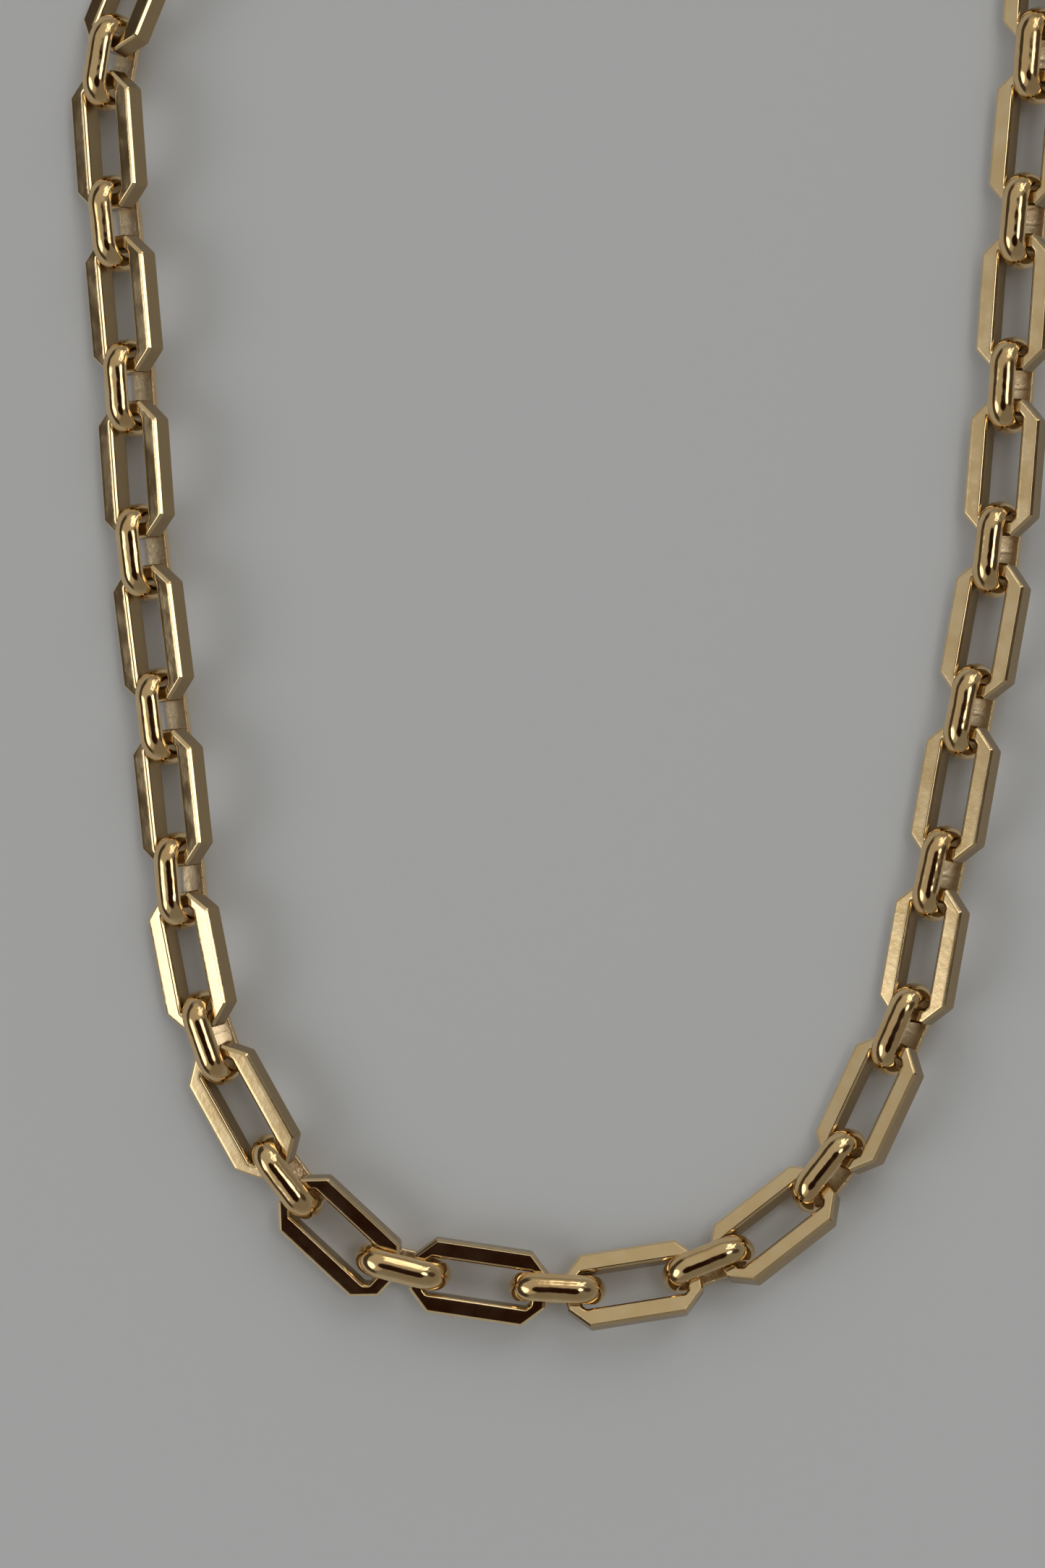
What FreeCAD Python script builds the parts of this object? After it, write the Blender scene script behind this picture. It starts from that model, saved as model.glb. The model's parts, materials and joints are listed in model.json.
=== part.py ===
"""Chain necklace of octagonal and oval links with a lobster clasp, lying open on a flat surface.

Frame: +Z up from the surface, +X to the right, +Y from the bottom of the loop towards the clasp.
The origin is on the surface, under the middle of the necklace. All lengths are millimetres.

Every link is a solid of its own.  The octagonal links are flat frames cut from plate, and the oval
links are domed bands bent round and closed.  Each oval passes through the slots of two octagons.
"""

import FreeCAD
import Part
import math
import os

# ---- octagonal link: a flat frame with a long slot --------------------------------------------
OCT_LENGTH = 13.7
OCT_WIDTH = 7.4
OCT_THICK = 2.4
OCT_CORNER = 2.05          # leg of each cut corner
OCT_SIDE_BAND = 1.9        # width of the frame along its sides
OCT_END_BAR = 1.54         # length of metal at each end, the bar that an oval hooks round
SLOT_CORNER = 0.36         # leg of the cut corners of the slot
OCT_EDGE = 0.26            # bevel along the rims of both faces
OCT_ROUND = 0.4            # rounding of the upright corners outside
SLOT_ROUND = 0.2           # the same inside the slot

# ---- oval link: a domed band, flat inside ------------------------------------------------------
OVAL_HEIGHT = 6.1
OVAL_CENTRES = 3.7         # distance between the centres of its two round ends
OVAL_BAND = 2.8            # width of the band
OVAL_WALL = 1.3            # thickness of the band at the crest of the dome
OVAL_LIP = 0.42            # thickness of the band at its rims
OVAL_INNER_ROUND = 0.18    # rounding of the inner rims
OVAL_INNER_RADIUS = OVAL_HEIGHT / 2 - OVAL_WALL

# ---- how an oval sits in a slot ----------------------------------------------------------------
SEAT_GAP = 0.66            # from the end bar to the inside of the oval, links in line
GAP_PER_BEND = 0.025       # more gap for each degree that the pair is bent in the slot's plane
BAND_MIDDLE = OVAL_INNER_RADIUS + OVAL_WALL / 2

# ---- the lie of the chain, in degrees, from the open left end round to the clasp ---------------
# A heading is the direction of a link's long axis, and a roll is its lean about that axis.
OCT_HEADINGS = [
    -96, -100, -106, -110, -112,
    -86, -85, -86, -83, -84, -79, -61, -43, -8.5,
    9, 38, 65, 80, 80, 80, 85.5, 86, 85, 86, 88, 89, 90,
]
OVAL_HEADINGS = [
    -95, -98, -103, -108, -111, -99,
    -84, -86, -83.5, -83, -85, -71, -53, -14,
    -3, 22, 52, 67, 78, 79, 83.5, 86, 85, 85.5, 87, 88.5, 89.5,
]
OCT_ROLLS = [
    33, 33, 33, 33, 33,
    33, 33, 33, 33, 33, 30, 19, 8, 1,
    -18, -28, -31, -31, -31, -30, -28, -29, -30, -30, -30, -30, -30,
]
# how much further over an oval leans than the mean of the two octagons that it joins
OVAL_LEANS = [
    6, 6, 6, 6, 6, 5,
    6, 6, 6, 6, 5, 1, 0, 0,
    0, 0, -1, -4, -6, -6, -6, -6, -6, -6, -6, -6, -6,
]
# how much further than it must an oval lies into both of its slots, where the chain is slack
OVAL_SLACK = [
    0, 0, 0, 0, 0, 0,
    0, 0, 0, 0, 0, 0.1, 0.1, 0.35,
    0.3, 0.1, 0.1, 0.05, 0, 0, 0, 0, 0, 0, 0, 0, 0,
]
ROOT = 13                  # the octagonal link at the bottom of the loop, counted from 0

# ---- clasp --------------------------------------------------------------------------------------
RING_WIRE = 0.6            # radius of the jump ring's wire
RING_RADIUS = 3.0          # radius of the jump ring's centre line
RING_OFFSET = 0.9          # from the end bar's middle to the ring's centre
CLASP_THICK = 2.6
EYE_HOLE = 1.1
EYE_THICK = 1.7
EYE_RIM = 2.2
HOOK_X = 7.4               # from the eye's centre to the centre of the hook
HOOK_INNER = 2.2
HOOK_OUTER = 3.6
PIVOT_RADIUS = 2.9         # the lever's pin, from the centre of the hook
PIVOT_ANGLE = 140.0
NOSE_REACH = 4.9           # the lever's nose, from its pin
NOSE_GAP = 0.15
LEVER_THICK = 1.1
LEVER_SLOT = 1.24          # the slot in the body that the lever turns in
PIN_RADIUS = 0.4
PIN_GAP = 0.05
HUB_RADIUS = 0.9
HUB_POCKET = 1.2
SPRING_INNER = 0.99
SPRING_OUTER = 1.12
SPRING_TALL = 0.8
CLASP_HEADING = 90.0
RING_HEADING = 90.0
RING_ROLL = -36.0
CLASP_ROLL = -28.0


def vec(x, y, z=0.0):
    return FreeCAD.Vector(x, y, z)


def rounded_wire(points, radius, z):
    """A closed wire through the points, with each corner rounded."""
    edges = []
    starts = []
    count = len(points)
    for i in range(count):
        before = points[i - 1]
        here = points[i]
        after = points[(i + 1) % count]
        to_before = [before[0] - here[0], before[1] - here[1]]
        to_after = [after[0] - here[0], after[1] - here[1]]
        len_b = math.hypot(*to_before)
        len_a = math.hypot(*to_after)
        unit_b = [c / len_b for c in to_before]
        unit_a = [c / len_a for c in to_after]
        half = math.acos(unit_b[0] * unit_a[0] + unit_b[1] * unit_a[1]) / 2
        run = radius / math.tan(half)
        middle = [unit_b[0] + unit_a[0], unit_b[1] + unit_a[1]]
        len_m = math.hypot(*middle)
        depth = radius / math.sin(half) - radius
        enter = [here[0] + unit_b[0] * run, here[1] + unit_b[1] * run]
        leave = [here[0] + unit_a[0] * run, here[1] + unit_a[1] * run]
        crest = [here[0] + middle[0] / len_m * depth, here[1] + middle[1] / len_m * depth]
        starts.append((enter, crest, leave))
    for i in range(count):
        enter, crest, leave = starts[i]
        following = starts[(i + 1) % count][0]
        edges.append(Part.Arc(vec(*enter, z), vec(*crest, z), vec(*leave, z)).toShape())
        edges.append(Part.LineSegment(vec(*leave, z), vec(*following, z)).toShape())
    return Part.Wire(edges)


def cut_corner_points(length, width, leg):
    """The eight corners of a rectangle whose corners are cut off."""
    x = length / 2
    y = width / 2
    return [
        (x, -y + leg), (x, y - leg), (x - leg, y), (-x + leg, y),
        (-x, y - leg), (-x, -y + leg), (-x + leg, -y), (x - leg, -y),
    ]


def octagon_link():
    """The frame, its long axis along X and its faces square to Z, with both rims bevelled."""
    outer = cut_corner_points(OCT_LENGTH, OCT_WIDTH, OCT_CORNER)
    slot_length = OCT_LENGTH - 2 * OCT_END_BAR
    slot_width = OCT_WIDTH - 2 * OCT_SIDE_BAND
    inner = cut_corner_points(slot_length, slot_width, SLOT_CORNER)
    bottom = -OCT_THICK / 2
    rise = vec(0, 0, OCT_THICK)
    body = Part.Face(rounded_wire(outer, OCT_ROUND, bottom)).extrude(rise)
    slot = Part.Face(rounded_wire(inner, SLOT_ROUND, bottom)).extrude(rise)
    frame = body.cut(slot)
    rims = []
    for edge in frame.Edges:
        heights = [v.Point.z for v in edge.Vertexes]
        if max(heights) - min(heights) < 0.01:
            rims.append(edge)
    return frame.makeChamfer(OCT_EDGE, rims)


def band_profile():
    """Half-section of the oval's band: x is the distance from the round end's centre, y across."""
    r = OVAL_INNER_RADIUS
    h = OVAL_BAND / 2
    n = OVAL_INNER_ROUND
    bend = n * (1 - math.sqrt(0.5))
    points = [
        vec(r, -h + n), vec(r, h - n), vec(r + n, h), vec(r + OVAL_LIP, h),
        vec(r + OVAL_LIP, -h), vec(r + n, -h),
    ]
    edges = [
        Part.LineSegment(points[0], points[1]).toShape(),
        Part.Arc(points[1], vec(r + bend, h - bend), points[2]).toShape(),
        Part.LineSegment(points[2], points[3]).toShape(),
        Part.Arc(points[3], vec(r + OVAL_WALL, 0), points[4]).toShape(),
        Part.LineSegment(points[4], points[5]).toShape(),
        Part.Arc(points[5], vec(r + bend, -h + bend), points[0]).toShape(),
    ]
    return Part.Face(Part.Wire(edges))


def oval_link():
    """The closed band, its long axis along X, standing up in the XZ plane."""
    profile = band_profile()
    half = OVAL_CENTRES / 2
    pieces = []
    # profile lies in XY: turned about the Y axis it sweeps a round end
    for side in (1, -1):
        end = profile.copy()
        if side < 0:
            end.rotate(vec(0, 0, 0), vec(0, 1, 0), 180)
        end.rotate(vec(0, 0, 0), vec(0, 1, 0), 90)
        end = end.revolve(vec(0, 0, 0), vec(0, 1, 0), -180)
        end.translate(vec(side * half, 0, 0))
        pieces.append(end)
    for side in (90, -90):
        run = profile.copy()
        run.rotate(vec(0, 0, 0), vec(0, 1, 0), side)
        run.translate(vec(-half, 0, 0))
        pieces.append(run.extrude(vec(OVAL_CENTRES, 0, 0)))
    whole = pieces[0].multiFuse(pieces[1:])
    return whole.removeSplitter()


def wedge(radius, start, stop, low, high):
    """A slice of a disc about the origin between two angles, from one height to another."""
    solid = Part.makeCylinder(radius, high - low, vec(0, 0, low), vec(0, 0, 1), stop - start)
    solid.rotate(vec(0, 0, 0), vec(0, 0, 1), start)
    return solid


def pivot_point():
    angle = math.radians(PIVOT_ANGLE)
    return (HOOK_X + PIVOT_RADIUS * math.cos(angle), PIVOT_RADIUS * math.sin(angle))


def disc(x, y, radius, thick):
    return Part.makeCylinder(radius, thick, vec(x, y, -thick / 2), vec(0, 0, 1))


def soften(solid, size):
    """Rounds the rims of the two flat faces, and leaves the solid as it is if that fails."""
    top = solid.BoundBox.ZMax
    bottom = solid.BoundBox.ZMin
    rims = []
    for edge in solid.Edges:
        heights = [edge.valueAt(p).z for p in (edge.FirstParameter, edge.LastParameter)]
        flat = abs(heights[0] - heights[1]) < 0.001
        if flat and (abs(heights[0] - top) < 0.001 or abs(heights[0] - bottom) < 0.001):
            rims.append(edge)
    try:
        rounded = solid.makeFillet(size, rims)
    except Part.OCCError:
        return solid
    if rounded.isValid() and rounded.Volume > 0.8 * solid.Volume:
        return rounded
    return solid


def clasp_body():
    """Hook, neck and eye in one casting.  The eye's centre is at the origin and the hook is along X."""
    px, py = pivot_point()
    neck = Part.Face(Part.makePolygon([
        vec(1.5, -EYE_RIM + 0.6), vec(HOOK_X - 1.2, -HOOK_OUTER + 0.25),
        vec(HOOK_X - 1.2, HOOK_OUTER - 0.25), vec(1.5, EYE_RIM - 0.6),
        vec(1.5, -EYE_RIM + 0.6),
    ]))
    neck = neck.extrude(vec(0, 0, CLASP_THICK))
    neck.translate(vec(0, 0, -CLASP_THICK / 2))
    outline = disc(HOOK_X, 0, HOOK_OUTER, CLASP_THICK)
    outline = outline.fuse([neck, disc(0, 0, EYE_RIM, EYE_THICK)]).removeSplitter()
    tall = CLASP_THICK + 2
    mouth = wedge(HOOK_OUTER + 3, -14, 112, -tall / 2, tall / 2)
    mouth.translate(vec(HOOK_X, 0, 0))
    mouth = mouth.common(disc(px, py, NOSE_REACH + NOSE_GAP, tall))
    body = outline.cut(disc(HOOK_X, 0, HOOK_INNER, tall))
    body = body.cut(disc(0, 0, EYE_HOLE, tall))
    body = body.cut(mouth)
    body = soften(body, 0.45)
    lever_room = wedge(HOOK_OUTER + 4, 60, 152, -LEVER_SLOT / 2, LEVER_SLOT / 2)
    lever_room.translate(vec(HOOK_X, 0, 0))
    body = body.cut(lever_room)
    body = body.cut(disc(px, py, HUB_POCKET, LEVER_SLOT))
    return body.cut(disc(px, py, PIN_RADIUS, tall))


def clasp_lever():
    """The spring lever that closes the hook, with its hub and thumb piece."""
    px, py = pivot_point()
    arm = wedge(HOOK_OUTER - 0.1, 0, 140, -LEVER_THICK / 2, LEVER_THICK / 2)
    arm.translate(vec(HOOK_X, 0, 0))
    arm = arm.cut(disc(HOOK_X, 0, HOOK_INNER + 0.1, LEVER_THICK + 1))
    arm = arm.common(disc(px, py, NOSE_REACH, LEVER_THICK + 1))
    thumb = Part.makeBox(1.3, 2.2, LEVER_THICK, vec(-0.65, 0.2, -LEVER_THICK / 2))
    tip = disc(0, 2.4, 0.65, LEVER_THICK)
    thumb = thumb.fuse(tip)
    thumb.rotate(vec(0, 0, 0), vec(0, 0, 1), 18)
    thumb.translate(vec(px, py, 0))
    lever = arm.fuse([thumb, disc(px, py, HUB_RADIUS, LEVER_THICK)]).removeSplitter()
    return lever.cut(disc(px, py, PIN_RADIUS + PIN_GAP, LEVER_THICK + 1))


def clasp_pin():
    px, py = pivot_point()
    return disc(px, py, PIN_RADIUS, CLASP_THICK - 0.1)


def clasp_spring():
    """A leaf bent round the hub, between it and the wall of its pocket."""
    px, py = pivot_point()
    leaf = wedge(SPRING_OUTER, 165, 300, -SPRING_TALL / 2, SPRING_TALL / 2)
    leaf.translate(vec(px, py, 0))
    return leaf.cut(disc(px, py, SPRING_INNER, SPRING_TALL + 1))


def jump_ring():
    """A ring of round wire standing up in the XZ plane."""
    return Part.makeTorus(RING_RADIUS, RING_WIRE, vec(0, 0, 0), vec(0, 1, 0))


def rest_height(roll):
    """Height of a link's middle when an oval with this lean touches the surface."""
    chord = OVAL_BAND / 2
    sagitta = OVAL_WALL - OVAL_LIP
    dome = (chord ** 2 + sagitta ** 2) / (2 * sagitta)
    return (OVAL_HEIGHT / 2 - dome) * math.cos(math.radians(roll)) + dome


def octagon_rest_height(roll):
    """Height of an octagon's middle when its lower rim touches the surface."""
    lean = math.radians(abs(roll))
    side = OCT_WIDTH / 2
    face = OCT_THICK / 2
    bevel_out = side * math.sin(lean) + (face - OCT_EDGE) * math.cos(lean)
    bevel_in = (side - OCT_EDGE) * math.sin(lean) + face * math.cos(lean)
    return max(bevel_out, bevel_in)


def oct_reach(bend, slack):
    """From an octagon's middle to the middle of the oval's band in its slot."""
    gap = SEAT_GAP + GAP_PER_BEND * abs(bend) + slack
    return OCT_LENGTH / 2 - OCT_END_BAR - gap - OVAL_WALL / 2


def step_along(point, heading, distance):
    angle = math.radians(heading)
    return (point[0] + distance * math.cos(angle), point[1] + distance * math.sin(angle))


def end_centre_offset(octagon, bend, reach):
    """From an octagon's middle to the centre of the round end of the oval in its slot.

    The pair bends in the octagon's own plane, about the middle of the band in the slot, and the
    oval's round end stays level with the middle of the octagon's thickness.
    Returns the part along the octagon, the part to its left, and the rise.
    """
    lean = math.radians(octagon["roll"])
    turn = math.radians(bend)
    sideways = BAND_MIDDLE * math.sin(turn) * math.cos(lean)
    along = reach + BAND_MIDDLE * math.cos(turn)
    return along, sideways * math.cos(lean), sideways * math.sin(lean)


def chain_layout():
    """Every link's name, kind, middle, heading and roll, and how it meets the link before it.

    The links are in order from the open left end.  The parent of a link is its neighbour on the
    side of the bottom octagon.
    """
    count = len(OCT_HEADINGS)
    links = []
    for i in range(count):
        if i == 0:
            oval_roll = OCT_ROLLS[0]
        else:
            oval_roll = (OCT_ROLLS[i - 1] + OCT_ROLLS[i]) / 2
        oval_roll += OVAL_LEANS[i]
        links.append({"name": "oval_link_%02d" % (i + 1), "kind": "oval", "slack": OVAL_SLACK[i],
                      "heading": OVAL_HEADINGS[i], "roll": oval_roll, "lifts": []})
        links.append({"name": "octagon_link_%02d" % (i + 1), "kind": "octagon", "slack": 0,
                      "heading": OCT_HEADINGS[i], "roll": OCT_ROLLS[i], "lifts": []})
    root = 2 * ROOT + 1
    links[root]["at"] = (0.0, 0.0)
    for step in (1, -1):
        i = root
        while 0 <= i + step < len(links):
            here = links[i]
            there = links[i + step]
            octagon = here if here["kind"] == "octagon" else there
            oval = there if here["kind"] == "octagon" else here
            side = step if here["kind"] == "octagon" else -step
            bend = oval["heading"] - octagon["heading"]
            reach = oct_reach(bend, oval["slack"])
            along, left, rise = end_centre_offset(octagon, bend, reach)
            if here is octagon:
                centre = step_along(octagon["at"], octagon["heading"], side * along)
                centre = step_along(centre, octagon["heading"] + 90, side * left)
                oval["at"] = step_along(centre, oval["heading"], side * OVAL_CENTRES / 2)
            else:
                centre = step_along(oval["at"], oval["heading"], -side * OVAL_CENTRES / 2)
                middle = step_along(centre, octagon["heading"], -side * along)
                octagon["at"] = step_along(middle, octagon["heading"] + 90, -side * left)
            octagon["lifts"].append((oval, -side * rise))
            oval["lifts"].append((octagon, side * rise))
            there["parent"] = i
            there["reach"] = reach
            i += step
    set_heights(links)
    return links


def set_heights(links):
    """Each octagon rests on its rim or hangs in its ovals, and an oval is level with its octagons."""
    for link in links:
        if link["kind"] == "octagon":
            levels = [rest_height(oval["roll"]) + rise for oval, rise in link["lifts"]]
            link["z"] = max(sum(levels) / len(levels), octagon_rest_height(link["roll"]))
    for link in links:
        if link["kind"] == "oval":
            levels = [octagon["z"] + rise for octagon, rise in link["lifts"]]
            link["z"] = max(sum(levels) / len(levels), rest_height(link["roll"]))


def clasp_layout(links):
    """The jump ring and the clasp body beyond the last octagon."""
    last = links[-1]
    bar = OCT_LENGTH / 2 - OCT_END_BAR / 2
    hinge = step_along(last["at"], last["heading"], bar)
    ring = step_along(hinge, RING_HEADING, RING_OFFSET)
    eye = step_along(ring, RING_HEADING, RING_RADIUS)
    height = RING_RADIUS * math.cos(math.radians(RING_ROLL)) + RING_WIRE
    ring_link = {"name": "clasp_jump_ring", "heading": RING_HEADING, "roll": RING_ROLL,
                 "at": ring, "z": height, "bar": (hinge[0], hinge[1], last["z"])}
    clasp = {"name": "clasp_body", "heading": CLASP_HEADING, "roll": CLASP_ROLL,
             "at": eye, "z": height}
    return ring_link, clasp


def frame_shift(links, clasp):
    """Moves the necklace so that the origin is under the middle of its outline."""
    xs = []
    ys = []
    for link in links:
        half = OCT_LENGTH / 2 if link["kind"] == "octagon" else OVAL_HEIGHT / 2
        for sign in (1, -1):
            end = step_along(link["at"], link["heading"], sign * half)
            xs.append(end[0])
            ys.append(end[1])
    top = step_along(clasp["at"], clasp["heading"], HOOK_X + HOOK_OUTER)
    ys.append(top[1])
    return ((min(xs) + max(xs)) / 2, (min(ys) + max(ys)) / 2)


def placement(link, shift):
    """Turns a shape built along X about its long axis, then to its heading, and moves it."""
    roll = FreeCAD.Rotation(vec(1, 0, 0), link["roll"])
    turn = FreeCAD.Rotation(vec(0, 0, 1), link["heading"])
    base = vec(link["at"][0] - shift[0], link["at"][1] - shift[1], link["z"])
    return FreeCAD.Placement(base, turn.multiply(roll))


def link_joints(links, shift):
    """The hinge between each link and its parent, as name, parent, child, point and axis.

    An oval swings on the end bar that it hooks round, about the middle of its near round end.  An
    octagon bends in its own plane about the oval's band in its slot.  The axes alternate along
    each strand, so that the same angle at every hinge makes a zigzag and not a roll.
    """
    joints = []
    root = 2 * ROOT + 1
    for i, link in enumerate(links):
        if "parent" not in link:
            continue
        outward = 1 if i > link["parent"] else -1
        depth = abs(i - root)
        place = placement(link, shift)
        if link["kind"] == "oval":
            pair = (depth + 1) // 2
            point = place.multVec(vec(-outward * OVAL_CENTRES / 2, 0))
            axis = place.Rotation.multVec(vec(0, 1))
            name = "swing_" + link["name"]
        else:
            pair = depth // 2
            point = place.multVec(vec(-outward * link["reach"], 0))
            axis = place.Rotation.multVec(vec(0, 0, 1))
            name = "bend_" + link["name"]
        sign = outward if pair % 2 else -outward
        joints.append((name, links[link["parent"]]["name"], link["name"], point, axis * sign))
    return joints


def clasp_joints(links, ring_link, clasp, shift):
    """The ring's hinge on the last end bar, the clasp's on the ring, and the lever's on its pin."""
    bar = vec(*ring_link["bar"]) - vec(*shift)
    ring_axis = placement(ring_link, shift).Rotation.multVec(vec(0, 1))
    place = placement(clasp, shift)
    flat = place.Rotation.multVec(vec(0, 0, 1))
    pin = place.multVec(vec(*pivot_point()))
    return [
        ("swing_clasp_jump_ring", links[-1]["name"], "clasp_jump_ring", bar, ring_axis),
        ("turn_clasp", "clasp_jump_ring", "clasp_body", place.Base, flat),
        ("open_clasp_lever", "clasp_body", "clasp_lever", pin, flat * -1),
    ]


def all_shapes():
    links = chain_layout()
    ring_link, clasp = clasp_layout(links)
    shift = frame_shift(links, clasp)
    octagon = octagon_link()
    oval = oval_link()
    shapes = {}
    for link in links:
        shape = (octagon if link["kind"] == "octagon" else oval).copy()
        shape.Placement = placement(link, shift)
        shapes[link["name"]] = shape
    ring = jump_ring()
    ring.Placement = placement(ring_link, shift)
    shapes["clasp_jump_ring"] = ring
    for name, build in (("clasp_body", clasp_body), ("clasp_lever", clasp_lever),
                        ("clasp_pin", clasp_pin), ("clasp_spring", clasp_spring)):
        shape = build()
        shape.Placement = placement(clasp, shift)
        shapes[name] = shape
    joints = link_joints(links, shift) + clasp_joints(links, ring_link, clasp, shift)
    return shapes, joints


def main():
    shapes, joints = all_shapes()
    os.makedirs("parts", exist_ok=True)
    for name, shape in shapes.items():
        shape.exportStep("parts/" + name + ".step")
    box = FreeCAD.BoundBox()
    for shape in shapes.values():
        box.add(shape.BoundBox)
    print("nodes", len(shapes), "box", [round(v, 2) for v in (
        box.XMin, box.XMax, box.YMin, box.YMax, box.ZMin, box.ZMax)])
    for name, parent, child, point, axis in joints:
        print(name, parent, child, [round(c, 3) for c in point], [round(c, 4) for c in axis])


if __name__ == "__main__":
    main()
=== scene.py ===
"""Looks of a gold-plated chain necklace: satin octagonal frame links and polished domed oval links.

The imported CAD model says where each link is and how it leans.  The links are rebuilt here as finer
meshes in the same places, with rounded bevels, soft rims and the seam inside each oval.
Lengths are in metres, in the frame's own coordinates.
"""

import bpy
import json
import math
import numpy as np
from mathutils import Matrix, Vector


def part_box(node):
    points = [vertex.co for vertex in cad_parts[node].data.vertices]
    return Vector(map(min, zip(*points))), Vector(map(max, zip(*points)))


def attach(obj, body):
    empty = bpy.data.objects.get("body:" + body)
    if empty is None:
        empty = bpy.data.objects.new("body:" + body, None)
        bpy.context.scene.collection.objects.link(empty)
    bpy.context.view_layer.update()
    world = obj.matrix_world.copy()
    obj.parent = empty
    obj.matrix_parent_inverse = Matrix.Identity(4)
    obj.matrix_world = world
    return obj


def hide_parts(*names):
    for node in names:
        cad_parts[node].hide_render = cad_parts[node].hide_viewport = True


MM = 0.001

# ---- octagonal link --------------------------------------------------------------------------
OCT_CORNER = 2.05 * MM           # leg of each cut corner
OCT_SIDE_BAND = 1.9 * MM         # width of the frame along its sides
OCT_END_BAR = 1.54 * MM          # metal at each end
SLOT_CORNER = 0.36 * MM
OCT_BEVEL = 0.26 * MM
OCT_BEVEL_SOFT = 0.08 * MM       # radius where the outer bevel meets a wall or a face
SLOT_BEVEL_SOFT = 0.24 * MM      # the same round the slot, where it is nearly a full round
OCT_ROUND = 0.4 * MM
SLOT_ROUND = 0.2 * MM

# ---- oval link ---------------------------------------------------------------------------------
OVAL_CENTRES = 3.7               # between its two round ends, in millimetres for the shader
OVAL_INSIDE = 1.75               # radius of the inside of a round end, the same
OVAL_WALL = 1.3 * MM             # at the crest of the dome
OVAL_LIP = 0.42 * MM             # at the rims
OVAL_INNER_ROUND = 0.18 * MM
OVAL_RIM_SOFT = 0.13 * MM        # radius between the dome and the rim
SEAM_DEPTH = 0.05 * MM
SEAM_WIDTH = 0.16 * MM
LOWER_ARM = -0.99                # the outward direction's Z is below this on the lower arm

# ---- fineness of the meshes --------------------------------------------------------------------
CORNER_STEPS = 6                 # round each corner of an octagon
EDGE_STEPS = [6, 4, 20, 4]       # along its end, a cut corner, its side and the next cut corner
BEVEL_ANGLE = math.radians(45)
BEVEL_STEPS = 4                  # round each edge of a bevel
FACE_ROWS = 5                    # across a face, between the two bevels
DOME_STEPS = 10                  # from the crest of an oval's band to its rim
RIM_STEPS = 5                    # round the rim
INNER_STEPS = 4                  # round the edge of the inside
FLAT_STEPS = 5                   # from there to the middle of the inside
END_STEPS = 40                   # round each end of an oval
ARM_STEPS = 24                   # along each straight arm

# ---- surfaces ----------------------------------------------------------------------------------
GOLD = (0.87, 0.65, 0.35, 1.0)
GOLD_PALE = (0.9, 0.71, 0.43, 1.0)
GOLD_DEEP = (0.84, 0.58, 0.29, 1.0)
GOLD_WALL_PAINTED_SHADE = (0.42, 0.3, 0.16, 1.0)       # painted shade: the walls of the octagonal links, darker than the faces
GOLD_INSIDE_PAINTED_LIGHT = (0.86, 0.68, 0.44, 1.0)      # painted light: a paler tone inside the ovals, offsetting the orange of light bounced round the band
STEEL = (0.6, 0.58, 0.54, 1.0)
STEEL_DARK = (0.5, 0.48, 0.45, 1.0)
PATCHY = (0.3, 0.7)              # the range of the noise over which one look passes into another
FACE_ROUGH = (0.09, 0.15)        # least and most
WALL_ROUGH = 0.14                # more on the walls than on the faces
DOME_ROUGH = (0.07, 0.13)
CAST_ROUGH = 0.16                # more on the inside of an oval than outside
CLASP_ROUGH = (0.08, 0.16)
STEEL_ROUGH = (0.22, 0.34)
CLASP_EDGE = 0.07 * MM           # how far the corners of the clasp's pieces are eased
STEEL_EDGE = 0.03 * MM
NOISE_SPREAD = 90.0              # how far apart in the noise two links can be, in millimetres

# ---- floor -------------------------------------------------------------------------------------
FLOOR_COLOUR = (0.77, 0.81, 0.87, 1.0)
FLOOR_ROUGH = 0.7
FLOOR_REACH = 6.0                # from the middle to each edge

# ---- camera ------------------------------------------------------------------------------------
LENS = 99.63                     # millimetres, for a long side of 36 mm
CAMERA_ABOVE = 432.6 * MM        # above the middle of the bottom link
CAMERA_ASIDE = (4.32 * MM, 49.58 * MM)   # from the middle of the bottom link
BOTTOM_LINK = "octagon_link_14"


def link_place(node):
    """A link's middle and axes as a matrix, and its three sizes: X along it, Y across, Z up.

    The axes are the principal axes of the surface of the CAD solid.
    """
    mesh = frame["nodes"][node].data
    mesh.calc_loop_triangles()
    co = np.array([v.co for v in mesh.vertices])
    corners = co[np.array([t.vertices for t in mesh.loop_triangles])]
    cross = np.cross(corners[:, 1] - corners[:, 0], corners[:, 2] - corners[:, 0])
    area = np.linalg.norm(cross, axis=1) / 2
    middle = (corners.mean(1) * area[:, None]).sum(0) / area.sum()
    local = corners - middle
    total = local.sum(1)
    moments = np.einsum("n,nki,nkj->ij", area, local, local)
    moments += np.einsum("n,ni,nj->ij", area, total, total)
    axes = np.linalg.eigh(moments)[1]
    along = Vector(axes[:, 2])
    if node.startswith("octagon"):
        up = Vector(axes[:, 0])
    else:
        up = Vector(axes[:, 1])
    if up.z < 0:
        up = -up
    if along.y < 0:
        along = -along
    across = up.cross(along)
    turn = Matrix((along, across, up)).transposed()
    spread = (co - middle) @ np.array(turn)
    sizes = spread.max(0) - spread.min(0)
    place = turn.to_4x4()
    place.translation = Vector(middle)
    return place, sizes


def make_mesh(name, rings):
    """A closed quad mesh from rings of points, each ring joined to the next all the way round."""
    count = len(rings[0])
    points = [p for ring in rings for p in ring]
    faces = []
    for i in range(len(rings)):
        here = i * count
        there = (i + 1) % len(rings) * count
        for k in range(count):
            n = (k + 1) % count
            faces.append((here + k, here + n, there + n, there + k))
    mesh = bpy.data.meshes.new(name)
    mesh.from_pydata(points, [], faces)
    mesh.validate()
    mesh.shade_smooth()
    return mesh


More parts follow.
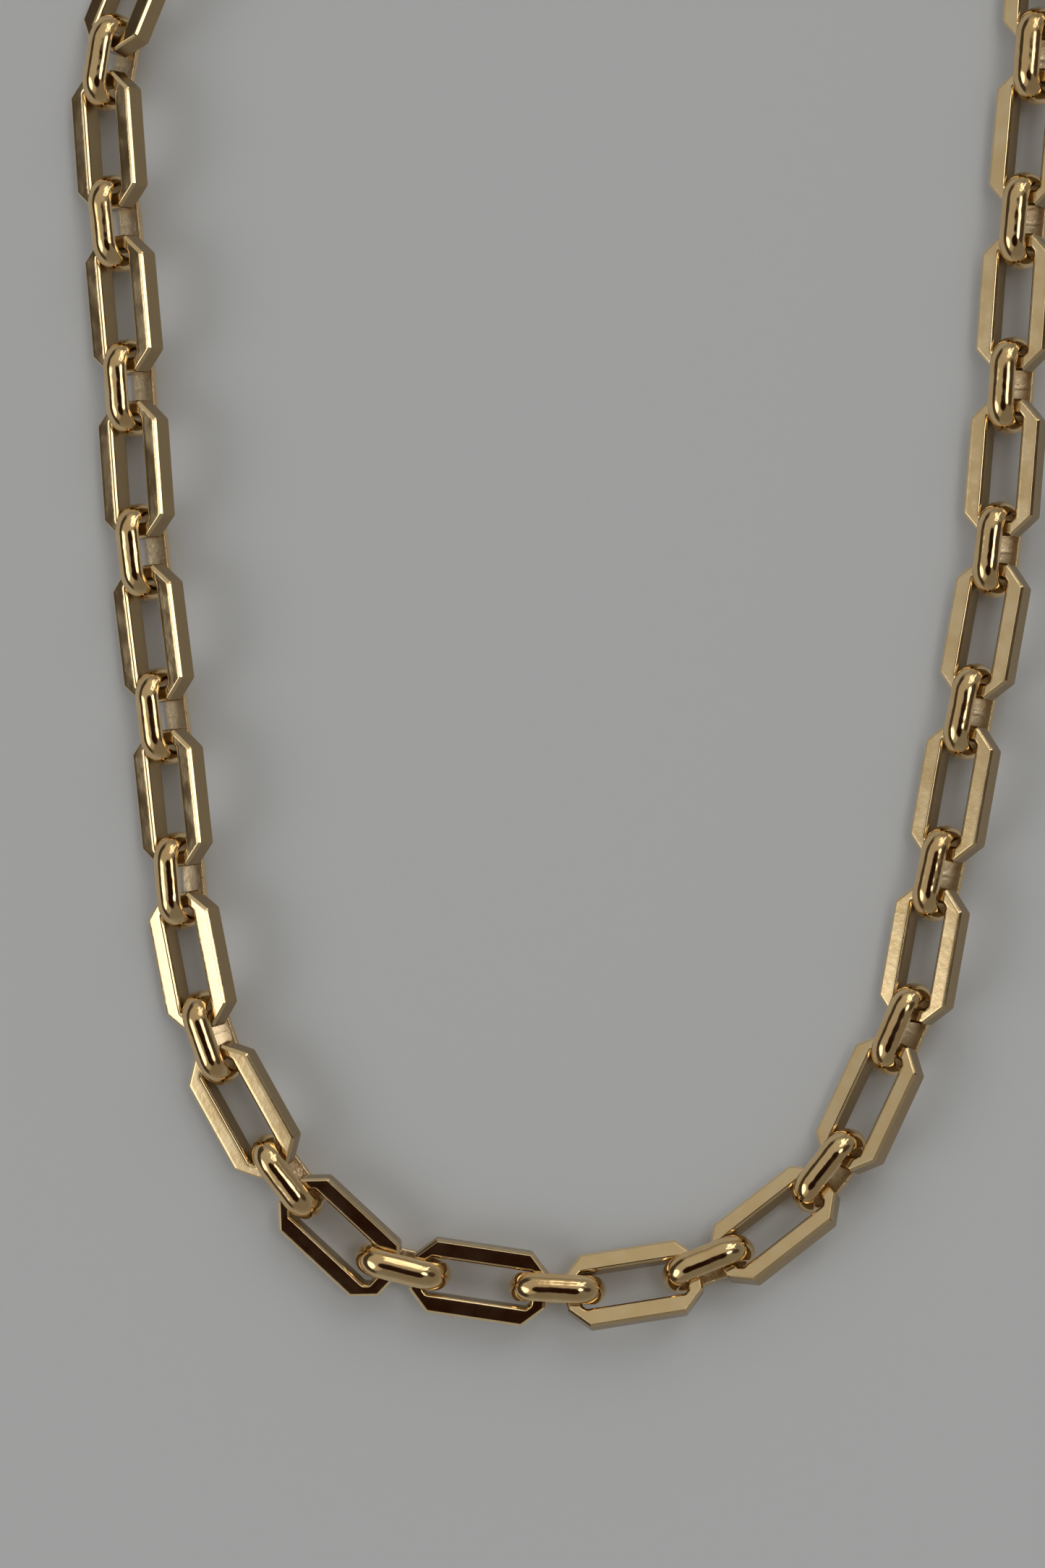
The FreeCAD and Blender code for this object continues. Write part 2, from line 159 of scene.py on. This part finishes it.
def octagon_loop(length, width, leg, radius):
    """Points round an octagon with rounded corners, always the same number and in step."""
    x = length / 2
    y = width / 2
    corners = [
        (x, -y + leg), (x, y - leg), (x - leg, y), (-x + leg, y),
        (-x, y - leg), (-x, -y + leg), (-x + leg, -y), (x - leg, -y),
    ]
    steps = EDGE_STEPS * 2
    loops = []
    for i in range(8):
        here = Vector(corners[i])
        back = (Vector(corners[i - 1]) - here).normalized()
        on = (Vector(corners[(i + 1) % 8]) - here).normalized()
        half = back.angle(on) / 2
        run = radius / math.tan(half)
        centre = here + (back + on).normalized() * (radius / math.sin(half))
        enter = here + back * run - centre
        sweep = math.pi - 2 * half
        arc = []
        for k in range(CORNER_STEPS + 1):
            turn = Matrix.Rotation(sweep * k / CORNER_STEPS, 2)
            arc.append(centre + turn @ enter)
        loops.append(arc)
    points = []
    for i in range(8):
        points += loops[i]
        start = loops[i][-1]
        stop = loops[(i + 1) % 8][0]
        points += [start.lerp(stop, k / steps[i]) for k in range(1, steps[i])]
    return points


def rounded_bevel(size, soft):
    """The bevel's profile from wall to face, as (inset, drop), with both its edges rounded."""
    run = soft * math.tan(BEVEL_ANGLE / 2)
    profile = []
    for k in range(BEVEL_STEPS + 1):
        a = BEVEL_ANGLE * k / BEVEL_STEPS
        profile.append((soft * (1 - math.cos(a)), size + run - soft * math.sin(a)))
    return profile + [(drop, inset) for inset, drop in reversed(profile)]


def octagon_mesh(sizes):
    """The frame link with bevelled rims, its faces in several rows so that they can be uneven."""
    length, width, thick = sizes
    slot_length = length - 2 * OCT_END_BAR
    slot_width = width - 2 * OCT_SIDE_BAND
    # a cut corner's leg shortens by this much for each unit the outline moves inwards
    shrink = 2 - math.sqrt(2)
    out_profile = rounded_bevel(OCT_BEVEL, OCT_BEVEL_SOFT)
    in_profile = rounded_bevel(OCT_BEVEL, SLOT_BEVEL_SOFT)

    def outer(inset):
        # the rounding shrinks a little more slowly than the outline, for a softer bevel
        return octagon_loop(length - 2 * inset, width - 2 * inset,
                            OCT_CORNER - shrink * inset, OCT_ROUND - 0.9 * inset)

    def inner(inset):
        return octagon_loop(slot_length + 2 * inset, slot_width + 2 * inset,
                            SLOT_CORNER + shrink * inset, SLOT_ROUND + inset)

    def ring(points, height):
        return [(p[0], p[1], height) for p in points]

    half = []
    for inset, drop in out_profile:
        half.append((outer(inset), thick / 2 - drop))
    out_edge = outer(out_profile[-1][0])
    in_edge = inner(in_profile[-1][0])
    for row in range(1, FACE_ROWS):
        points = [a.lerp(b, row / FACE_ROWS) for a, b in zip(out_edge, in_edge)]
        half.append((points, thick / 2))
    for inset, drop in reversed(in_profile):
        half.append((inner(inset), thick / 2 - drop))
    rings = [ring(points, height) for points, height in half]
    rings += [ring(points, -height) for points, height in reversed(half)]
    return make_mesh("octagon_link", rings)


def oval_section(width):
    """The band's outline, as (height above the inside, place across), round the section."""
    half = width / 2
    rise = OVAL_WALL - OVAL_LIP
    dome = (half ** 2 + rise ** 2) / (2 * rise)
    centre = OVAL_WALL - dome
    soft = OVAL_RIM_SOFT
    # the rim's rounding touches the dome inside and the rim wall
    lean = math.asin((half - soft) / (dome - soft))
    low = centre + (dome - soft) * math.cos(lean)
    side = []
    for k in range(DOME_STEPS + 1):
        a = lean * k / DOME_STEPS
        side.append((centre + dome * math.cos(a), dome * math.sin(a)))
    for k in range(1, RIM_STEPS + 1):
        a = lean + (math.pi / 2 - lean) * k / RIM_STEPS
        side.append((low + soft * math.cos(a), half - soft + soft * math.sin(a)))
    bend = OVAL_INNER_ROUND
    for k in range(INNER_STEPS + 1):
        a = math.pi / 2 * k / INNER_STEPS
        side.append((bend * (1 - math.sin(a)), half - bend * (1 - math.cos(a))))
    for k in range(1, FLAT_STEPS):
        side.append((0.0, (half - bend) * (1 - k / FLAT_STEPS)))
    side.append((0.0, 0.0))
    mirror = [(h, -w) for h, w in reversed(side[1:-1])]
    return side + mirror


def oval_mesh(sizes):
    """The domed band swept round its path, with the seam across the inside of its lower arm."""
    length, width, height = sizes
    centres = length - height
    inner = height / 2 - OVAL_WALL
    section = oval_section(width)
    stations = []
    for side in (1, -1):
        for k in range(END_STEPS + 1):
            a = math.pi * k / END_STEPS
            centre = Vector((side * centres / 2, 0, 0))
            stations.append((centre, Vector((side * math.sin(a), 0, side * math.cos(a)))))
        for k in range(1, ARM_STEPS):
            x = side * (centres / 2 - centres * k / ARM_STEPS)
            stations.append((Vector((x, 0, 0)), Vector((0, 0, -side))))
    rings = []
    for centre, out in stations:
        ring = []
        for h, w in section:
            depth = 0.0
            if out.z < LOWER_ARM and h < OVAL_INNER_ROUND:
                depth = SEAM_DEPTH * math.exp(-(centre.x / SEAM_WIDTH * 2) ** 2)
            ring.append(centre + out * (inner + h + depth) + Vector((0, w, 0)))
        rings.append(ring)
    return make_mesh("oval_link", rings)


# ---- materials ---------------------------------------------------------------------------------
class Nodes:
    """A short way to add and join shader nodes."""

    def __init__(self, tree):
        self.tree = tree
        tree.nodes.clear()

    def add(self, kind, inputs=None, **settings):
        node = self.tree.nodes.new(kind)
        for key, value in settings.items():
            setattr(node, key, value)
        for key, value in (inputs or {}).items():
            if isinstance(value, bpy.types.NodeSocket):
                self.tree.links.new(value, node.inputs[key])
            else:
                node.inputs[key].default_value = value
        return node

    def noise(self, vector, scale, detail=2.0, rough=0.5):
        node = self.add("ShaderNodeTexNoise", {"Vector": vector, "Scale": scale, "Detail": detail,
                                               "Roughness": rough})
        return node.outputs["Fac"]

    def remap(self, value, low, high, to_low, to_high, smooth=True):
        node = self.add("ShaderNodeMapRange", {"Value": value, "From Min": low, "From Max": high,
                                               "To Min": to_low, "To Max": to_high})
        node.interpolation_type = "SMOOTHSTEP" if smooth else "LINEAR"
        return node.outputs["Result"]

    def maths(self, operation, a, b=0.0, c=0.0):
        return self.add("ShaderNodeMath", {0: a, 1: b, 2: c}, operation=operation).outputs[0]

    def mix(self, share, a, b):
        # sockets 6 and 7 of this node are its two colours, and output 2 is the mixed colour
        return self.add("ShaderNodeMix", {0: share, 6: a, 7: b}, data_type="RGBA").outputs[2]

    def vector(self, operation, a, b):
        return self.add("ShaderNodeVectorMath", {0: a, 1: b}, operation=operation).outputs[0]

    def patches(self, cloud, low, high):
        """A value that passes from low to high where the noise goes through its middle range."""
        return self.remap(cloud, *PATCHY, low, high)

    def bump(self, height, depth, under=None):
        """A bump of this depth, laid over another one's normal where one is given."""
        inputs = {"Strength": 1.0, "Distance": depth, "Height": height}
        if under is not None:
            inputs["Normal"] = under
        return self.add("ShaderNodeBump", inputs).outputs[0]

    def finish_metal(self, tone, rough, normal):
        shader = self.add("ShaderNodeBsdfPrincipled", {"Base Color": tone, "Metallic": 1.0,
                                                       "Roughness": rough, "Normal": normal})
        self.add("ShaderNodeOutputMaterial", {"Surface": shader.outputs[0]})


def new_material(name):
    """An empty material and the means to add its nodes."""
    material = bpy.data.materials.new(name)
    material.use_nodes = True
    return material, Nodes(material.node_tree)


def link_position(nodes):
    """Position in the link's own axes in millimetres, and the same moved apart by link for noise."""
    coords = nodes.add("ShaderNodeTexCoord").outputs["Object"]
    own = nodes.vector("MULTIPLY", coords, (1 / MM,) * 3)
    chance = nodes.add("ShaderNodeObjectInfo").outputs["Random"]
    shift = nodes.maths("MULTIPLY", chance, NOISE_SPREAD)
    spread = nodes.add("ShaderNodeCombineXYZ", {0: shift, 1: shift, 2: shift}).outputs[0]
    return own, nodes.vector("ADD", own, spread)


def octagon_gold():
    """Plate with softly uneven faces and a fine grain, rougher on the walls than on the faces, with
    painted shade darkening the walls.
    """
    material, nodes = new_material("octagon_gold")
    moved = link_position(nodes)[1]
    outward = nodes.add("ShaderNodeTexCoord").outputs["Normal"]
    upright = nodes.maths("ABSOLUTE", nodes.add("ShaderNodeSeparateXYZ", {0: outward}).outputs["Z"])
    wall = nodes.remap(upright, 0.25, 0.55, 1.0, 0.0)
    cloud = nodes.noise(moved, 0.45, 3.0)
    peel = nodes.noise(moved, 1.6, 2.0)
    grain = nodes.noise(moved, 5.0, 4.0, 0.6)
    face_tone = nodes.mix(nodes.patches(cloud, 0.0, 1.0), GOLD, GOLD_PALE)
    # painted shade: the walls take a darker colour than the faces
    tone = nodes.mix(wall, face_tone, GOLD_WALL_PAINTED_SHADE)
    rough = nodes.maths("MULTIPLY_ADD", wall, WALL_ROUGH, nodes.patches(cloud, *FACE_ROUGH))
    soft = nodes.bump(cloud, 0.008 * MM)
    dimples = nodes.bump(peel, 0.006 * MM, soft)
    fine = nodes.bump(grain, 0.002 * MM, dimples)
    nodes.finish_metal(tone, rough, fine)
    return material


def oval_gold():
    """Polished dome outside; the inside of the band is left as cast, dull and hammered, and painted
    paler to offset the light bounced round inside it.
    """
    material, nodes = new_material("oval_gold")
    own, moved = link_position(nodes)
    axes = nodes.add("ShaderNodeSeparateXYZ", {0: own})
    # distance from the straight line between the two round ends tells inside from outside
    past = nodes.maths("SUBTRACT", nodes.maths("ABSOLUTE", axes.outputs["X"]), OVAL_CENTRES / 2)
    past = nodes.maths("MAXIMUM", past, 0.0)
    square = nodes.maths("MULTIPLY", past, past)
    square = nodes.maths("MULTIPLY_ADD", axes.outputs["Z"], axes.outputs["Z"], square)
    depth = nodes.maths("SQRT", square)
    inside = nodes.remap(depth, OVAL_INSIDE + 0.06, OVAL_INSIDE + 0.2, 1.0, 0.0)
    cloud = nodes.noise(moved, 0.4, 2.0)
    cast = nodes.noise(moved, 2.0, 5.0, 0.65)
    grain = nodes.noise(moved, 6.0, 3.0)
    outer_tone = nodes.mix(nodes.patches(cloud, 0.0, 1.0), GOLD, GOLD_DEEP)
    # painted light: the inside is made paler to offset the orange light bounced inside the band
    tone = nodes.mix(inside, outer_tone, GOLD_INSIDE_PAINTED_LIGHT)
    rough = nodes.maths("MULTIPLY_ADD", inside, CAST_ROUGH, nodes.patches(cloud, *DOME_ROUGH))
    soft = nodes.bump(cloud, 0.09 * MM)
    rugged = nodes.bump(nodes.maths("MULTIPLY", cast, inside), 0.07 * MM, soft)
    fine = nodes.bump(grain, 0.001 * MM, rugged)
    nodes.finish_metal(tone, rough, fine)
    return material


def clasp_metal(name, colours, roughness):
    """Metal for the clasp's pieces, with a little unevenness."""
    material, nodes = new_material(name)
    moved = link_position(nodes)[1]
    cloud = nodes.noise(moved, 0.7, 3.0)
    grain = nodes.noise(moved, 6.0, 3.0)
    tone = nodes.mix(nodes.patches(cloud, 0.0, 1.0), *colours)
    rough = nodes.patches(cloud, *roughness)
    nodes.finish_metal(tone, rough, nodes.bump(grain, 0.002 * MM))
    return material


# ---- building the links ------------------------------------------------------------------------
def body_holding(node):
    """The body of the frame that moves this CAD solid."""
    for body, held in frame["record"]["behaviour"]["bodies"].items():
        if node in held:
            return body
    raise KeyError(node)


def add_links(kind, build, material):
    """Every link of one kind, sharing one mesh, each in the place of its CAD solid."""
    shared = None
    for node in sorted(frame["nodes"]):
        if not node.startswith(kind):
            continue
        place, sizes = link_place(node)
        if shared is None:
            shared = build(sizes)
            shared.materials.append(material)
        piece = bpy.data.objects.new(node + "_finish", shared)
        bpy.context.scene.collection.objects.link(piece)
        piece.matrix_world = place
        weights = piece.modifiers.new("even_normals", "WEIGHTED_NORMAL")
        weights.keep_sharp = False
        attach(piece, body_holding(node))
        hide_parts(node)


def finish_cad(node, material, edge):
    """A CAD solid that stays: its corners eased and its material set."""
    piece = frame["nodes"][node]
    piece.data.materials.clear()
    piece.data.materials.append(material)
    weld = piece.modifiers.new("weld", "WELD")
    weld.merge_threshold = 0.002 * MM
    ease = piece.modifiers.new("ease", "BEVEL")
    ease.width = edge
    ease.segments = 2
    ease.limit_method = "ANGLE"
    ease.angle_limit = math.radians(35)
    ease.harden_normals = True


# ---- studio --------------------------------------------------------------------------------------
def direction(azimuth, elevation):
    """A unit vector: azimuth from +X towards +Y, elevation above the floor, in degrees."""
    a = math.radians(azimuth)
    e = math.radians(elevation)
    return (math.cos(a) * math.cos(e), math.sin(a) * math.cos(e), math.sin(e))


def add_world():
    """A dome of windows, a lamp and dark screens for the metal to reflect."""
    world = bpy.data.worlds.new("studio")
    bpy.context.scene.world = world
    world.use_nodes = True
    nodes = Nodes(world.node_tree)
    way = nodes.add("ShaderNodeTexCoord").outputs["Generated"]
    height = nodes.add("ShaderNodeSeparateXYZ", {0: way}).outputs["Z"]

    # the same directions a little disturbed, for a window with an uneven outline
    swirl = nodes.add("ShaderNodeTexNoise", {"Vector": way, "Scale": 5.0, "Detail": 3.0})
    swirl = nodes.vector("SUBTRACT", swirl.outputs["Color"], (0.5, 0.5, 0.5))
    uneven = nodes.vector("ADD", way, nodes.vector("MULTIPLY", swirl, (0.3, 0.3, 0.3)))

    def disc(azimuth, elevation, inner, outer, seen=way):
        """1 within the inner angle of a direction and 0 past the outer one, in degrees."""
        aimed = nodes.add("ShaderNodeVectorMath", {0: seen, 1: direction(azimuth, elevation)},
                          operation="DOT_PRODUCT").outputs["Value"]
        edge = math.cos(math.radians(outer))
        full = math.cos(math.radians(inner))
        return nodes.remap(aimed, edge, full, 0.0, 1.0)

    def put(share, base, red, green, blue):
        return nodes.mix(share, base, (red, green, blue, 1))

    # the room itself, a little paler and cooler near the floor
    raised = nodes.remap(height, 0.0, 0.5, 0.0, 1.0)
    colour = put(raised, (0.26, 0.26, 0.26, 1), 0.2, 0.19, 0.17)
    # soft light from the far side, dimmer than the windows
    colour = put(disc(105, 48, 24, 40), colour, 0.43, 0.41, 0.36)
    # a smaller window beyond the far side
    colour = put(disc(66, 38, 13, 18, uneven), colour, 1.7, 1.65, 1.55)
    # the window on the left in a paler wall, and the dark sill and wall below it
    colour = put(disc(187, 40, 36, 48), colour, 0.4, 0.385, 0.35)
    colour = put(disc(196, 28, 14, 24), colour, 2.2, 2.15, 2.05)
    low = nodes.remap(height, 0.37, 0.41, 1.0, 0.0)
    colour = put(nodes.maths("MULTIPLY", disc(180, 0, 55, 70), low), colour, 0.05, 0.042, 0.036)
    # dark screen overhead, where the camera is
    colour = put(disc(240, 79, 17, 23), colour, 0.016, 0.006, 0.004)
    # a dark gap low on the right
    colour = put(disc(5, 46, 12, 18), colour, 0.06, 0.045, 0.035)
    # a lamp high on the right
    colour = put(disc(15, 70, 7, 10), colour, 2.6, 2.5, 2.3)
    back = nodes.add("ShaderNodeBackground", {"Color": colour, "Strength": 1.0})
    nodes.add("ShaderNodeOutputWorld", {"Surface": back.outputs[0]})


def add_floor():
    """A plain pale floor at the height the necklace lies on."""
    mesh = bpy.data.meshes.new("floor")
    far = FLOOR_REACH
    corners = [(-far, -far, 0), (far, -far, 0), (far, far, 0), (-far, far, 0)]
    mesh.from_pydata(corners, [], [(0, 1, 2, 3)])
    floor = bpy.data.objects.new("floor", mesh)
    bpy.context.scene.collection.objects.link(floor)
    material, nodes = new_material("floor")
    shader = nodes.add("ShaderNodeBsdfPrincipled", {"Base Color": FLOOR_COLOUR,
                                                    "Roughness": FLOOR_ROUGH})
    nodes.add("ShaderNodeOutputMaterial", {"Surface": shader.outputs[0]})
    mesh.materials.append(material)


def add_camera():
    """The camera looks straight down from above the inside of the loop."""
    low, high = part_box(BOTTOM_LINK)
    middle = (low + high) / 2
    data = bpy.data.cameras.new("camera")
    data.lens = LENS
    data.clip_start = 0.01
    data.clip_end = 20.0
    camera = bpy.data.objects.new("camera", data)
    camera.location = (middle.x + CAMERA_ASIDE[0], middle.y + CAMERA_ASIDE[1], middle.z + CAMERA_ABOVE)
    bpy.context.scene.collection.objects.link(camera)
    bpy.context.scene.camera = camera


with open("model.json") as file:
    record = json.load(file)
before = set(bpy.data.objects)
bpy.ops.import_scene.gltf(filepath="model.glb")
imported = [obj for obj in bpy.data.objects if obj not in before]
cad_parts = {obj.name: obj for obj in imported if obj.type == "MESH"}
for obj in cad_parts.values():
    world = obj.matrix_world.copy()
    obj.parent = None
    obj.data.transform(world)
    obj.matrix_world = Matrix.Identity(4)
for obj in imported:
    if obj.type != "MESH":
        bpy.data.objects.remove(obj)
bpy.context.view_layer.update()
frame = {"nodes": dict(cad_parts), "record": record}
satin = octagon_gold()
polished = oval_gold()
clasp_gold = clasp_metal("clasp_gold", (GOLD, GOLD_PALE), CLASP_ROUGH)
steel = clasp_metal("spring_steel", (STEEL, STEEL_DARK), STEEL_ROUGH)
add_links("octagon", octagon_mesh, satin)
add_links("oval", oval_mesh, polished)
for part_name in ("clasp_jump_ring", "clasp_body", "clasp_lever"):
    finish_cad(part_name, clasp_gold, CLASP_EDGE)
for part_name in ("clasp_pin", "clasp_spring"):
    finish_cad(part_name, steel, STEEL_EDGE)
add_world()
add_floor()
add_camera()
bpy.context.scene.view_settings.view_transform = "Standard"
